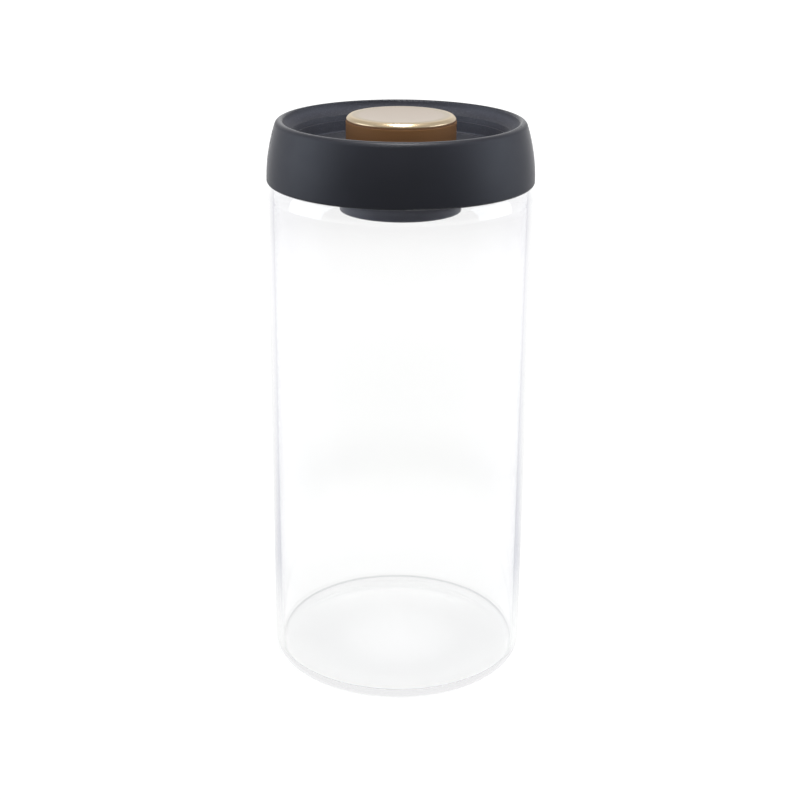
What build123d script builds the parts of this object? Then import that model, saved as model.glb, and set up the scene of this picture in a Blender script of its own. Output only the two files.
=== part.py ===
"""Vacuum seal canister: a straight borosilicate glass jar and a press-pump lid.

The origin is the centre of the jar's foot, +Z runs up the jar's axis, and lengths are millimetres.
Pressing the knob drives the piston down the barrel and squeezes the trapped air out past its cup seal.
The return spring then lifts the piston, and air is drawn from the jar through the ring valve in the
barrel's floor. Turning the knob turns the hollow stem, whose side port then opens into the jar.
"""

import os
from math import acos, cos, pi, sin, sqrt

from build123d import *

# Glass jar
jar_radius = 54.8
brim_height = 221.4
glass_wall = 2.7
base_thickness = 4.2
heel_radius = 5.5
inner_heel_radius = 3.6
punt_inset = 15.8
punt_rise = 1.3
shoulder_drop = 14.9
shoulder_radius = 12.0
shoulder_hollow_radius = 3.0
neck_inset = 3.6
brim_round = 1.2

# How the lid sits on the brim
seal_gap = 0.3
gasket_flange_thickness = 0.8
inner_flange_thickness = 1.5

# Lid shell
skirt_overhang = 0.2
skirt_wall = 1.7
skirt_drop = 8.4
skirt_edge_round = 0.9
skirt_straight = 1.0
belly_radius = 70.0
dish_depth = 12.0
rim_outer_round = 2.4
rim_inner_round = 0.8
rim_flat = 0.1
cove_radius = 6.5
step_inset = 3.25
step_drop = 5.0
ledge_drop = 2.2
ledge_width = 0.5
wall_draft = 0.4
dish_corner_round = 1.0
floor_thickness = 2.0
floor_hole_gap = 0.45
floor_hole_round = 0.4
hollow_top_depth = 3.4
hollow_top_width = 1.6
dish_wall = 1.9
rib_thickness = 1.2
rib_pair_count = 6
snap_bead_reach = 0.35
snap_bead_height = 0.8
snap_bead_gap = 0.2

# Inner lid, the pan under the shell whose wall carries the gasket
plug_gap = 2.3
plug_wall = 1.8
plug_drop = 9.2
plate_thickness = 2.0
gasket_bead_reach = 1.2
inner_flange_gap = 0.3
barrel_hole_gap = 0.3
seal_land_width = 2.9
seal_land_height = 1.0
boss_radius = 2.6
boss_gap = 0.3
blind_floor = 0.8

# Lid gasket
gasket_fit = 0.05
gasket_wall = 1.05
gasket_flange_inset = 0.2
fin_count = 3
fin_pitch = 1.5
fin_thickness = 0.7
fin_rise = 0.5
fin_top_drop = 2.0

# Pump barrel
barrel_wall = 1.4
barrel_edge_round = 1.0
barrel_foot_depth = 4.0
barrel_floor_thickness = 1.6
barrel_flange_thickness = 2.0
barrel_flange_margin = 0.8
barrel_seal_thickness = 0.8
stem_boss_radius = 5.2
stem_boss_height = 2.0
foot_boss_drop = 2.2
inlet_hole_radius = 0.9
inlet_circle_radius = 8.2
inlet_hole_count = 8
spring_rib_height = 0.8
spring_rib_width = 0.8
spring_side_gap = 0.3

# Barrel screws
screw_count = 6
screw_shank_radius = 1.2
screw_hole_gap = 0.2
screw_bite_gap = 0.05
screw_head_radius = 2.4
screw_head_height = 1.5
screw_tip_gap = 0.2

# Guide bush between the barrel and the shell
bush_thickness = 2.4
bush_run_gap = 0.08
bush_skirt_drop = 2.0
bush_skirt_width = 2.0
bush_skirt_gap = 0.1
bush_chamfer = 0.8

# Filter and its cover under the barrel's floor
cover_inset = 0.4
cover_thickness = 1.2
cover_side_gap = 0.2
cover_rim_width = 1.5
cover_slot_count = 12
cover_slot_width = 1.6
cover_slot_inner_radius = 8.5
cover_slot_outer_radius = 19.5
filter_thickness = 0.4
filter_side_gap = 0.2
foot_hole_gap = 0.4

# Release stem
stem_radius = 3.0
stem_bore_radius = 1.2
stem_run_gap = 0.06
stem_foot_reach = 1.1
stem_floor_thickness = 1.5
port_radius = 0.6
release_angle = 40.0
collar_radius = 6.8
collar_thickness = 1.0
collar_gap = 0.05
stop_depth = 0.7
stop_angle = 30.0
stop_slack_angle = 1.0
key_reach = 2.2
key_width = 2.0
key_height = 2.6
key_floor_gap = 0.6
clip_thickness = 0.5
clip_radius = 4.8
clip_groove_depth = 0.8
clip_gap = 0.05
clip_mouth_width = 3.4
ring_cord_radius = 0.5
ring_groove_height = 1.2
ring_groove_depth = 1.4

# Inlet ring valve
valve_thickness = 1.0
valve_radius = 10.4
valve_bore_gap = 0.25
valve_seat_gap = 0.1

# Knob: gold cap and brown sleeve on the plunger
knob_rise = 2.0
knob_radius = 22.5
press_travel = 9.0
cap_side_height = 2.5
cap_rim_round = 1.1
cap_dish_depth = 1.1
cap_dish_inset = 2.2
cap_thickness = 0.8
cap_pad_thickness = 0.4
cap_pad_inset = 3.5
sleeve_wall = 0.8
sleeve_fit = 0.05
sleeve_edge_round = 0.15
vent_notch_width = 4.0
vent_notch_height = 1.2
vent_notch_pairs = 2

# Plunger core
core_wall = 1.6
stop_reach = 1.1
stop_gap = 0.3
press_floor_gap = 1.5
stop_flange_thickness = 1.2
bore_gap = 0.3
seal_groove_height = 2.2
seal_groove_depth = 2.5
lower_flange_thickness = 1.0
lower_flange_inset = 0.3
foot_plate_thickness = 2.2
well_wall = 1.4
well_side_gap = 1.9
well_height = 11.0
hub_plate_thickness = 1.6
hub_plate_lift = 1.1
collar_well_gap = 0.6
collar_well_depth = 1.2
hub_wall = 3.6
key_tube_radius = 6.8
key_tube_bore_gap = 0.4
key_slot_gap = 0.1
key_slot_end_gap = 0.4
key_tube_top_gap = 0.5
carrier_thickness = 1.6
carrier_spigot_depth = 2.5
carrier_spigot_wall = 1.5
carrier_fit = 0.1

# Piston cup seal
cup_fit = 0.1
cup_base_thickness = 0.9
cup_lip_thickness = 0.6
cup_lip_flare = 0.4

# Return spring and its washer
spring_wire_radius = 0.7
spring_end_gap = 0.1
spring_closed_pitch = 1.95
spring_closed_turns = 1
spring_open_turns = 4
spring_turn_steps = 4
spring_washer_thickness = 0.5
spring_washer_width = 3.0

# Every cutter runs this far past the face it opens
overrun = 1.0

# The jar's neck and the plug that fills it
neck_radius = jar_radius - neck_inset
neck_inner_radius = neck_radius - glass_wall
punt_radius = jar_radius - punt_inset
shoulder_start_height = brim_height - shoulder_drop
plug_wall_radius = neck_inner_radius - plug_gap
plug_bottom_height = brim_height - plug_drop

# Heights of the lid's stack, worked up from the brim
gasket_flange_bottom = brim_height + seal_gap
inner_flange_bottom = gasket_flange_bottom + gasket_flange_thickness
shell_underside = inner_flange_bottom + inner_flange_thickness
dish_floor_height = shell_underside + floor_thickness
rim_height = dish_floor_height + dish_depth
total_height = rim_height + knob_rise
barrel_top = shell_underside - bush_thickness

# The shell's section, worked inward from the skirt: the belly's arc ends where it meets the rim's outer round
skirt_radius = jar_radius + skirt_overhang
skirt_bottom_height = brim_height - skirt_drop
belly_height = skirt_bottom_height + skirt_straight
belly_centre = skirt_radius - belly_radius
rim_round_height = rim_height - rim_outer_round
rim_round_reach = belly_radius - rim_outer_round
rim_round_radius = belly_centre + sqrt(rim_round_reach**2 - (rim_round_height - belly_height) ** 2)
rim_inner_radius = rim_round_radius - rim_flat - rim_inner_round
step_radius = rim_inner_radius - step_inset
step_height = rim_height - step_drop
ledge_height = step_height - ledge_drop

# The barrel takes the knob's stop flange, and is screwed down on the inner lid's plate
barrel_bore_radius = knob_radius + stop_reach
barrel_radius = barrel_bore_radius + barrel_wall
plate_top = plug_bottom_height + plate_thickness
land_top = plate_top + seal_land_height
barrel_flange_bottom = land_top + barrel_seal_thickness
barrel_flange_top = barrel_flange_bottom + barrel_flange_thickness
barrel_hole_radius = barrel_radius + barrel_hole_gap
screw_circle_radius = barrel_hole_radius + seal_land_width + boss_gap + boss_radius
barrel_flange_radius = screw_circle_radius + screw_head_radius + barrel_flange_margin

# Heights of the plunger, worked down from the bush and the knob's top
sleeve_inner_radius = knob_radius - sleeve_wall
core_radius = sleeve_inner_radius - sleeve_fit
core_inner_radius = core_radius - core_wall
cap_dish_radius = knob_radius - cap_dish_inset
cap_pad_radius = knob_radius - cap_pad_inset
stop_flange_top = barrel_top - stop_gap
stop_flange_bottom = stop_flange_top - stop_flange_thickness
stop_flange_radius = barrel_bore_radius - bore_gap
lower_flange_top = stop_flange_bottom - seal_groove_height
core_bottom = lower_flange_top - lower_flange_thickness
seal_groove_radius = stop_flange_radius - seal_groove_depth
cap_bottom = total_height - cap_side_height
cap_underside = total_height - cap_dish_depth - cap_thickness
carrier_top = cap_underside - cap_pad_thickness
core_top = carrier_top - carrier_thickness
key_tube_top = core_top - key_tube_top_gap
stem_top = key_tube_top - press_travel
key_bottom = stem_top - key_height
key_radius = stem_radius + key_reach
hub_boss_radius = stem_radius + ring_groove_depth + hub_wall
spring_mean_radius = (hub_boss_radius + core_inner_radius) / 2
well_roof = core_bottom + well_height
well_inner_radius = spring_mean_radius - spring_wire_radius - well_side_gap
well_outer_radius = spring_mean_radius + spring_wire_radius + well_side_gap
hub_underside = core_bottom + hub_plate_lift
hub_boss_bottom = hub_underside + collar_well_depth
hub_boss_top = key_bottom - key_floor_gap

# Heights of the barrel's floor, below the pressed plunger, and of the stem in it
barrel_floor_height = core_bottom - press_travel - press_floor_gap
barrel_floor_bottom = barrel_floor_height - barrel_floor_thickness
barrel_bottom_height = barrel_floor_bottom - barrel_foot_depth
stem_boss_top = barrel_floor_height + stem_boss_height
foot_boss_bottom = barrel_floor_bottom - foot_boss_drop
stem_foot_height = foot_boss_bottom - stem_foot_reach
collar_bottom = stem_boss_top + collar_gap
port_height = (barrel_floor_bottom + foot_boss_bottom) / 2
clip_top = foot_boss_bottom - clip_gap
clip_bottom = clip_top - clip_thickness


def outline(*edges):
    """Closed face in the XZ plane, radius across and height up, from edges end to end."""
    return make_face([side for edge in edges for side in (Plane.XZ * edge).edges()])


def turned(points):
    """Solid of revolution about the jar's axis from a polygon of (radius, height) points."""
    return revolve(make_face(Plane.XZ * Polyline(*points, close=True)), Axis.Z)


def ring(inner, outer, low, high):
    """Plain ring about the jar's axis; an inner radius of zero gives a disc."""
    return turned([(inner, low), (outer, low), (outer, high), (inner, high)])


def cord_ring(radius, cord, height):
    """O-ring about the jar's axis."""
    return Pos(0, 0, height) * Torus(radius, cord)


def around(count, start=0.0):
    """Evenly spaced turns about the jar's axis."""
    return [Rot(0, 0, start + 360 * index / count) for index in range(count)]


def post(x, radius, low, high):
    """Round post beside the axis, at distance x along +X."""
    return Pos(x, 0, low) * Cylinder(radius, high - low, align=(Align.CENTER, Align.CENTER, Align.MIN))


def bar(length, width, low, high):
    """Flat bar that lies across the axis along X."""
    return Pos(0, 0, low) * Box(length, width, high - low, align=(Align.CENTER, Align.CENTER, Align.MIN))


def sector(radius, low, high, start, angle):
    """Wedge of a disc between two angles, in degrees from +X."""
    wedge = Cylinder(radius, high - low, arc_size=angle, align=(Align.NONE, Align.NONE, Align.NONE))
    return Pos(0, 0, low) * Rot(0, 0, start) * wedge


def jar_solid(inset, bottom, top, heel, rise):
    """Bottle form: a foot with a punt, a heel, a straight wall, an S-shaped shoulder and a neck."""
    wall = jar_radius - inset
    bulge = shoulder_radius - inset
    hollow = shoulder_hollow_radius + inset
    turn = acos(1 - (jar_radius - neck_radius) / (shoulder_radius + shoulder_hollow_radius))
    meet = (wall - bulge * (1 - cos(turn)), shoulder_start_height + bulge * sin(turn))
    neck = (neck_radius - inset, meet[1] + hollow * sin(turn))
    punt = TangentArc((0, bottom + rise), (punt_radius, bottom), tangent=(1, 0))
    foot = Line((punt_radius, bottom), (wall - heel, bottom))
    corner = TangentArc((wall - heel, bottom), (wall, bottom + heel), tangent=(1, 0))
    side = Line((wall, bottom + heel), (wall, shoulder_start_height))
    bulging = TangentArc((wall, shoulder_start_height), meet, tangent=(0, 1))
    hollowed = TangentArc(meet, neck, tangent=(-sin(turn), cos(turn)))
    throat = Polyline(neck, (neck[0], top), (0, top), (0, bottom + rise))
    return revolve(outline(punt, foot, corner, side, bulging, hollowed, throat), Axis.Z)


def glass_jar():
    """Blown jar with an even wall, a thicker base and a fire-rounded brim."""
    outer = jar_solid(0, 0, brim_height, heel_radius, punt_rise)
    inner = jar_solid(glass_wall, base_thickness, brim_height + overrun, inner_heel_radius, punt_rise)
    jar = outer - inner
    brim = jar.edges().filter_by(GeomType.CIRCLE).group_by(Axis.Z)[-1]
    return fillet(brim, brim_round)


def skirt_inner_radius(height):
    """Radius of the skirt's inner face, an arc beside the outer one."""
    inner_arc = belly_radius - skirt_wall
    return belly_centre + sqrt(inner_arc**2 - (height - belly_height) ** 2)


def shell_outline():
    """Section of the lid shell: skirt, rolled rim, cove, stepped dish wall and dish floor."""
    share = belly_radius / rim_round_reach
    touch = (
        belly_centre + (rim_round_radius - belly_centre) * share,
        belly_height + (rim_round_height - belly_height) * share,
    )
    edge_top = (skirt_radius, skirt_bottom_height + skirt_edge_round)
    edge_in = (skirt_radius - skirt_edge_round, skirt_bottom_height)
    rim_end = (rim_inner_radius + rim_inner_round, rim_height)
    cove_top = (rim_inner_radius, rim_height - rim_inner_round)
    step = (step_radius, step_height)
    ledge_out = (step_radius - wall_draft, ledge_height)
    ledge_in = (step_radius - wall_draft - ledge_width, ledge_height)
    corner_top = (ledge_in[0] - wall_draft, dish_floor_height + dish_corner_round)
    corner_in = (corner_top[0] - dish_corner_round, dish_floor_height)
    hole = knob_radius + floor_hole_gap
    hollow_top = rim_height - hollow_top_depth
    hollow_out = skirt_inner_radius(hollow_top)
    wall_foot = corner_top[0] + dish_wall
    visible = [
        Line((skirt_radius - skirt_wall, skirt_bottom_height), edge_in),
        TangentArc(edge_in, edge_top, tangent=(1, 0)),
        Line(edge_top, (skirt_radius, belly_height)),
        TangentArc((skirt_radius, belly_height), touch, tangent=(0, 1)),
        TangentArc((rim_round_radius, rim_height), touch, tangent=(1, 0)),
        Line((rim_round_radius, rim_height), rim_end),
        TangentArc(rim_end, cove_top, tangent=(-1, 0)),
        RadiusArc(cove_top, step, cove_radius),
        Polyline(step, ledge_out, ledge_in, corner_top),
        TangentArc(corner_in, corner_top, tangent=(1, 0)),
        Line(corner_in, (hole + floor_hole_round, dish_floor_height)),
        Line((hole + floor_hole_round, dish_floor_height), (hole, dish_floor_height - floor_hole_round)),
    ]
    hidden = [
        Polyline(
            (hole, dish_floor_height - floor_hole_round),
            (hole, shell_underside),
            (wall_foot, shell_underside),
            (ledge_in[0] + dish_wall, ledge_height),
            (step_radius + dish_wall, step_height),
            (hollow_out - hollow_top_width, hollow_top),
            (hollow_out, hollow_top),
        ),
        TangentArc((skirt_radius - skirt_wall, belly_height), (hollow_out, hollow_top), tangent=(0, 1)),
        Line((skirt_radius - skirt_wall, belly_height), (skirt_radius - skirt_wall, skirt_bottom_height)),
    ]
    return outline(*visible, *hidden)


def shell_ribs():
    """Thin ribs that cross the hollow rim and stand on the inner lid's flange."""
    blade = sum_of(
        turn * bar(2 * skirt_radius, rib_thickness, shell_underside, step_height)
        for turn in around(rib_pair_count * 2)[:rib_pair_count]
    )
    inside = step_radius
    return blade & ring(inside, skirt_inner_radius(step_height), shell_underside, step_height)


def sum_of(solids):
    """One part from several solids."""
    whole = Part()
    for solid in solids:
        whole += solid
    return whole


def snap_bead():
    """Bead inside the skirt that catches under the inner lid's flange."""
    top = inner_flange_bottom - snap_bead_gap
    crest = inner_flange_radius() - snap_bead_reach
    root = skirt_inner_radius(top) + skirt_wall / 2
    low = top - snap_bead_height
    return turned([(root, low), (crest, top - snap_bead_height / 2), (crest, top), (root, top)])


def inner_flange_radius():
    """Outer radius of the inner lid's flange, clear of the skirt."""
    return skirt_inner_radius(shell_underside) - inner_flange_gap


def lid_shell():
    """One-piece moulded shell of the lid."""
    return revolve(shell_outline(), Axis.Z) + shell_ribs() + snap_bead()


def lid_inner():
    """Pan under the shell: flange over the brim, plug wall in the neck and a plate round the barrel."""
    inside = plug_wall_radius - plug_wall
    section = [
        (barrel_hole_radius, plug_bottom_height),
        (plug_wall_radius + gasket_bead_reach, plug_bottom_height),
        (plug_wall_radius + gasket_bead_reach, plate_top),
        (plug_wall_radius, plate_top),
        (plug_wall_radius, inner_flange_bottom),
        (inner_flange_radius(), inner_flange_bottom),
        (inner_flange_radius(), shell_underside),
        (inside, shell_underside),
        (inside, plate_top),
        (barrel_hole_radius + seal_land_width, plate_top),
        (barrel_hole_radius + seal_land_width, land_top),
        (barrel_hole_radius, land_top),
    ]
    pan = turned(section)
    hole_bottom = plug_bottom_height + blind_floor
    for turn in around(screw_count):
        pan += turn * post(screw_circle_radius, boss_radius, plate_top, barrel_flange_bottom)
        pan -= turn * post(
            screw_circle_radius,
            screw_shank_radius + screw_bite_gap,
            hole_bottom,
            barrel_flange_bottom + overrun,
        )
    return pan


def lid_gasket():
    """Silicone gasket: a band round the plug, a flange over the brim and soft fins in the neck."""
    band_in = plug_wall_radius + gasket_fit
    band_out = band_in + gasket_wall
    tip = neck_inner_radius - seal_gap
    flange_out = neck_radius - gasket_flange_inset
    gasket = turned(
        [
            (band_in, plate_top),
            (band_out, plate_top),
            (band_out, gasket_flange_bottom),
            (flange_out, gasket_flange_bottom),
            (flange_out, inner_flange_bottom),
            (band_in, inner_flange_bottom),
        ]
    )
    for index in range(fin_count):
        top = gasket_flange_bottom - fin_top_drop - index * fin_pitch
        root = band_out - gasket_wall / 2
        low = top - fin_thickness - fin_rise
        gasket += turned([(root, low), (tip, top - fin_thickness / 2), (tip, top), (root, top - fin_rise)])
    return gasket


def pump_barrel():
    """Cup that hangs through the inner lid: bore, floor with its stem boss, and a screwed flange."""
    recess = barrel_bore_radius
    body = turned(
        [
            (0, barrel_floor_bottom),
            (recess, barrel_floor_bottom),
            (recess, barrel_bottom_height),
            (barrel_radius, barrel_bottom_height),
            (barrel_radius, barrel_flange_bottom),
            (barrel_flange_radius, barrel_flange_bottom),
            (barrel_flange_radius, barrel_flange_top),
            (barrel_radius, barrel_flange_top),
            (barrel_radius, barrel_top),
            (barrel_bore_radius, barrel_top),
            (barrel_bore_radius, barrel_floor_height),
            (0, barrel_floor_height),
        ]
    )
    foot_edge = body.edges().filter_by(GeomType.CIRCLE).group_by(Axis.Z)[0].sort_by(SortBy.RADIUS)[-1]
    body = fillet(foot_edge, barrel_edge_round)
    body += ring(0, stem_boss_radius, barrel_floor_height, stem_boss_top)
    body += ring(0, stem_boss_radius, foot_boss_bottom, barrel_floor_bottom)
    rib_out = spring_mean_radius - spring_wire_radius - spring_side_gap
    rib_top = barrel_floor_height + spring_rib_height
    body += ring(rib_out - spring_rib_width, rib_out, barrel_floor_height, rib_top)
    bore = stem_radius + stem_run_gap
    body -= ring(0, bore, foot_boss_bottom - overrun, stem_boss_top + overrun)
    groove_low = barrel_floor_height - ring_groove_height
    body -= ring(0, stem_radius + ring_groove_depth, groove_low, barrel_floor_height)
    swing = release_angle + stop_angle + 2 * stop_slack_angle
    start = -stop_angle / 2 - stop_slack_angle
    notch_bottom = stem_boss_top - stop_depth - collar_gap
    body -= sector(stem_boss_radius + overrun, notch_bottom, stem_boss_top + overrun, start, swing)
    body -= Rot(0, 0, release_angle) * side_port(stem_boss_radius + overrun)
    for turn in around(inlet_hole_count):
        low = barrel_floor_bottom - overrun
        body -= turn * post(inlet_circle_radius, inlet_hole_radius, low, barrel_floor_height + overrun)
    for turn in around(screw_count):
        low = barrel_flange_bottom - overrun
        hole = screw_shank_radius + screw_hole_gap
        body -= turn * post(screw_circle_radius, hole, low, barrel_flange_top + overrun)
    return body


def side_port(reach):
    """Round cutter for a port that leaves the axis along +X."""
    hole = Cylinder(port_radius, reach, align=(Align.CENTER, Align.CENTER, Align.MIN))
    return Pos(0, 0, port_height) * Rot(0, 90, 0) * hole


def barrel_seal():
    """Flat silicone ring clamped between the barrel's flange and the inner lid."""
    inner = barrel_hole_radius + gasket_fit
    return ring(inner, barrel_hole_radius + seal_land_width - gasket_fit, land_top, barrel_flange_bottom)


def barrel_screws():
    """Pan-head screws that hold the barrel's flange to the blind bosses."""
    tip = plug_bottom_height + blind_floor + screw_tip_gap
    head_top = barrel_flange_top + screw_head_height
    head = post(screw_circle_radius, screw_head_radius, barrel_flange_top, head_top)
    crown = head.edges().group_by(Axis.Z)[-1]
    screw = fillet(crown, screw_head_height / 2)
    screw += post(screw_circle_radius, screw_shank_radius, tip, barrel_flange_top)
    return Compound([turn * screw.solid() for turn in around(screw_count)])


def guide_bush():
    """Slippery ring that guides the knob, sits on the barrel and stops the plunger's flange."""
    run = knob_radius + bush_run_gap
    skirt_in = barrel_radius + bush_skirt_gap
    skirt_out = skirt_in + bush_skirt_width
    return turned(
        [
            (run + bush_chamfer, barrel_top),
            (skirt_in, barrel_top),
            (skirt_in, barrel_top - bush_skirt_drop),
            (skirt_out, barrel_top - bush_skirt_drop),
            (skirt_out, shell_underside),
            (run, shell_underside),
            (run, barrel_top + bush_chamfer),
        ]
    )


def filter_cover():
    """Slotted disc that snaps into the barrel's foot and holds the filter."""
    low = barrel_bottom_height + cover_inset
    side = barrel_bore_radius - cover_side_gap
    top = low + cover_thickness
    cover = turned(
        [
            (stem_boss_radius + foot_hole_gap, low),
            (side, low),
            (side, barrel_floor_bottom),
            (side - cover_rim_width, barrel_floor_bottom),
            (side - cover_rim_width, top),
            (stem_boss_radius + foot_hole_gap, top),
        ]
    )
    run = cover_slot_outer_radius - cover_slot_inner_radius
    middle = (cover_slot_outer_radius + cover_slot_inner_radius) / 2
    slot = extrude(SlotOverall(run, cover_slot_width), cover_thickness + 2 * overrun)
    for turn in around(cover_slot_count):
        cover -= turn * Pos(middle, 0, low - overrun) * slot
    return cover


def dust_filter():
    """Disc of fine steel mesh that keeps crumbs and powder out of the pump."""
    low = barrel_bottom_height + cover_inset + cover_thickness
    side = barrel_bore_radius - cover_side_gap - cover_rim_width - filter_side_gap
    return ring(stem_boss_radius + foot_hole_gap, side, low, low + filter_thickness)


def stem_ring():
    """O-ring that seals the stem where it passes the barrel's floor."""
    middle = barrel_floor_height - ring_groove_height / 2
    return cord_ring(stem_radius + seal_gap + ring_cord_radius, ring_cord_radius, middle)


def hub_ring():
    """O-ring that seals the stem where it passes the plunger's hub."""
    middle = (hub_boss_bottom + hub_boss_top) / 2
    return cord_ring(stem_radius + seal_gap + ring_cord_radius, ring_cord_radius, middle)


def release_stem():
    """Hollow stem: side port and clip groove at its foot, a collar, and two key wings at its top."""
    stem = ring(0, stem_radius, stem_foot_height, stem_top)
    stem += ring(0, collar_radius, collar_bottom, collar_bottom + collar_thickness)
    stop_bottom = collar_bottom - stop_depth
    stem += sector(stem_boss_radius, stop_bottom, collar_bottom + collar_gap, -stop_angle / 2, stop_angle)
    stem += bar(2 * key_radius, key_width, key_bottom, stem_top)
    stem -= ring(0, stem_bore_radius, stem_foot_height + stem_floor_thickness, stem_top + overrun)
    stem -= side_port(stem_radius + overrun)
    groove = stem_radius - clip_groove_depth
    stem -= ring(groove, stem_radius + overrun, clip_bottom - clip_gap, clip_top + clip_gap)
    return stem


def stem_clip():
    """Spring clip that holds the stem up under the barrel's floor."""
    groove = stem_radius - clip_groove_depth + clip_gap
    clip = ring(groove, clip_radius, clip_bottom, clip_top)
    mouth = bar(clip_mouth_width, 2 * clip_radius, clip_bottom - overrun, clip_top + overrun)
    return clip - Pos(0, clip_radius, 0) * mouth


def inlet_valve():
    """Loose silicone ring that lies on the inlet holes and lifts as far as the stem's collar."""
    low = barrel_floor_height + valve_seat_gap
    return ring(stem_boss_radius + valve_bore_gap, valve_radius, low, low + valve_thickness)


def core_section():
    """Section of the plunger core from its wall through the spring well to the hub."""
    well_in = well_inner_radius
    well_out = well_outer_radius
    hub_in = stem_radius + stem_run_gap
    foot_top = core_bottom + foot_plate_thickness
    return [
        (well_out, core_bottom),
        (stop_flange_radius - lower_flange_inset, core_bottom),
        (stop_flange_radius - lower_flange_inset, lower_flange_top),
        (seal_groove_radius, lower_flange_top),
        (seal_groove_radius, stop_flange_bottom),
        (stop_flange_radius, stop_flange_bottom),
        (stop_flange_radius, stop_flange_top),
        (core_radius, stop_flange_top),
        (core_radius, core_top),
        (core_inner_radius, core_top),
        (core_inner_radius, foot_top),
        (well_out + well_wall, foot_top),
        (well_out + well_wall, well_roof + well_wall),
        (well_in - well_wall, well_roof + well_wall),
        (well_in - well_wall, hub_underside + hub_plate_thickness),
        (hub_boss_radius, hub_underside + hub_plate_thickness),
        (hub_boss_radius, hub_boss_top),
        (key_tube_radius, hub_boss_top),
        (key_tube_radius, key_tube_top),
        (stem_radius + key_tube_bore_gap, key_tube_top),
        (stem_radius + key_tube_bore_gap, hub_boss_top),
        (hub_in, hub_boss_top),
        (hub_in, hub_boss_bottom),
        (collar_radius + collar_well_gap, hub_boss_bottom),
        (collar_radius + collar_well_gap, hub_underside),
        (well_in, hub_underside),
        (well_in, well_roof),
        (well_out, well_roof),
    ]


def vent_notches():
    """Cutters for the notches at the sleeve's foot that let air into the hollow knob."""
    top = stop_flange_top + vent_notch_height
    return sum_of(
        turn * bar(2 * barrel_radius, vent_notch_width, stop_flange_top, top)
        for turn in around(vent_notch_pairs * 2)[:vent_notch_pairs]
    )


def plunger_core():
    """Moulded core of the knob: seal groove, stop flange, spring well, sealed hub and keyed tube."""
    core = turned(core_section())
    slot_width = key_width + 2 * key_slot_gap
    core -= bar(2 * (key_radius + key_slot_end_gap), slot_width, hub_boss_top, key_tube_top + overrun)
    middle = (hub_boss_bottom + hub_boss_top) / 2
    half = ring_groove_height / 2
    core -= ring(0, stem_radius + ring_groove_depth, middle - half, middle + half)
    return core - (vent_notches() - ring(0, well_outer_radius + well_wall, stop_flange_top, core_top))


def knob_sleeve():
    """Brown tube that is the knob's visible side."""
    sleeve = ring(sleeve_inner_radius, knob_radius, stop_flange_top, cap_bottom)
    edges = sleeve.edges().group_by(Axis.Z)[-1].sort_by(SortBy.RADIUS)[-1]
    return fillet(edges, sleeve_edge_round) - vent_notches()


def cap_carrier():
    """Disc that closes the core and backs the cap."""
    spigot_out = core_inner_radius - carrier_fit
    return turned(
        [
            (0, core_top),
            (spigot_out - carrier_spigot_wall, core_top),
            (spigot_out - carrier_spigot_wall, core_top - carrier_spigot_depth),
            (spigot_out, core_top - carrier_spigot_depth),
            (spigot_out, core_top),
            (core_radius, core_top),
            (core_radius, carrier_top),
            (0, carrier_top),
        ]
    )


def cap_pad():
    """Adhesive pad that bonds the cap to its carrier."""
    return ring(0, cap_pad_radius, carrier_top, cap_underside)


def knob_cap():
    """Pressed cap with a rounded rim and a dished top."""
    crest = knob_radius - cap_rim_round
    dish = total_height - cap_dish_depth
    section = outline(
        Polyline(
            (0, dish),
            (0, cap_underside),
            (sleeve_inner_radius, cap_underside),
            (sleeve_inner_radius, cap_bottom),
            (knob_radius, cap_bottom),
            (knob_radius, total_height - cap_rim_round),
        ),
        TangentArc((crest, total_height), (knob_radius, total_height - cap_rim_round), tangent=(1, 0)),
        Spline((crest, total_height), (cap_dish_radius, dish), tangents=[(-1, 0), (-1, 0)]),
        Line((cap_dish_radius, dish), (0, dish)),
    )
    return revolve(section, Axis.Z)


def piston_seal():
    """Silicone cup seal with its lip up: it holds from above and lets air pass from below."""
    base_in = seal_groove_radius + cup_fit
    base_low = lower_flange_top + cup_fit
    base_out = stop_flange_radius - cup_lip_flare
    lip_top = stop_flange_bottom - cup_fit * 2
    floor = base_low + cup_base_thickness
    return turned(
        [
            (base_in, base_low),
            (base_out, base_low),
            (stop_flange_radius, lip_top),
            (stop_flange_radius - cup_lip_thickness, lip_top),
            (base_out - cup_lip_thickness, floor),
            (base_in + cup_lip_thickness, floor),
            (base_in + cup_lip_thickness, lip_top),
            (base_in, lip_top),
        ]
    )


def spring_height(turn):
    """Height of the wire's centre after some turns: closed end turns and open middle ones."""
    low = barrel_floor_height + spring_end_gap + spring_wire_radius
    high = well_roof - spring_washer_thickness - spring_end_gap - spring_wire_radius
    closed = spring_closed_pitch * spring_closed_turns
    open_pitch = (high - low - 2 * closed) / spring_open_turns
    if turn <= spring_closed_turns:
        return low + spring_closed_pitch * turn
    if turn <= spring_closed_turns + spring_open_turns:
        return low + closed + open_pitch * (turn - spring_closed_turns)
    return high - spring_closed_pitch * (2 * spring_closed_turns + spring_open_turns - turn)


def spring_point(turn):
    """Point of the wire's centre line after some turns."""
    angle = 2 * pi * turn
    return Vector(spring_mean_radius * cos(angle), spring_mean_radius * sin(angle), spring_height(turn))


def spring_direction(turn, step):
    """Direction of the wire, with the climb averaged over the steps beside it."""
    total = 2 * spring_closed_turns + spring_open_turns
    before = max(turn - step, 0)
    after = min(turn + step, total)
    run = 2 * pi * spring_mean_radius * (after - before)
    climb = (spring_height(after) - spring_height(before)) / run
    angle = 2 * pi * turn
    return Vector(-sin(angle), cos(angle), climb).normalized()


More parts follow.
